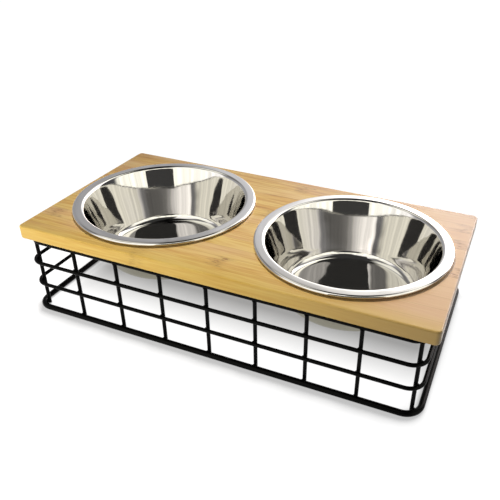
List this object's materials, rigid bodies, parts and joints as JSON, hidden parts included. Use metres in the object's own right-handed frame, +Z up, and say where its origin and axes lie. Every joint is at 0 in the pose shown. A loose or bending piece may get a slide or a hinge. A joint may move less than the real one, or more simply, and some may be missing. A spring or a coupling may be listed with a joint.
{
  "type": "elevated pet feeder",
  "caption": "Raised feeding stand for a small dog or cat: a wooden board on a welded wire cage, with lift-out steel bowls hanging in round holes.",
  "frame": {"origin": "centre of the bounding box's bottom face, on the floor under the middle of the board", "axes": "+X along the board's length towards the right bowl, -Y towards the front, +Z up"},
  "size_m": [0.36, 0.1912, 0.0845],
  "materials": {
    "bamboo": "clear satin lacquer",
    "stainless": "bright pressed",
    "black_wire": "satin powder coat",
    "screw_steel": "black"
  },
  "bodies": {
    "stand": {"bamboo_board": "bamboo", "base_ring": "black_wire", "lower_rail": "black_wire", "upper_rail": "black_wire", "top_rail": "black_wire", "front_upright_1": "black_wire", "front_upright_2": "black_wire", "front_upright_3": "black_wire", "front_upright_4": "black_wire", "front_upright_5": "black_wire", "front_upright_6": "black_wire", "front_upright_7": "black_wire", "front_upright_8": "black_wire", "front_upright_9": "black_wire", "back_upright_1": "black_wire", "back_upright_2": "black_wire", "back_upright_3": "black_wire", "back_upright_4": "black_wire", "back_upright_5": "black_wire", "back_upright_6": "black_wire", "back_upright_7": "black_wire", "back_upright_8": "black_wire", "back_upright_9": "black_wire", "front_left_tab": "black_wire", "front_right_tab": "black_wire", "back_left_tab": "black_wire", "back_right_tab": "black_wire", "tab_screws": "screw_steel"},
    "left_bowl": {"left_bowl": "stainless"},
    "right_bowl": {"right_bowl": "stainless"}
  },
  "joints": [
    {"name": "left_bowl_lift", "type": "slide", "parent": "stand", "child": "left_bowl", "axis": [0, 0, 1], "range_m": [0, 0.07]},
    {"name": "right_bowl_lift", "type": "slide", "parent": "stand", "child": "right_bowl", "axis": [0, 0, 1], "range_m": [0, 0.07]}
  ]
}
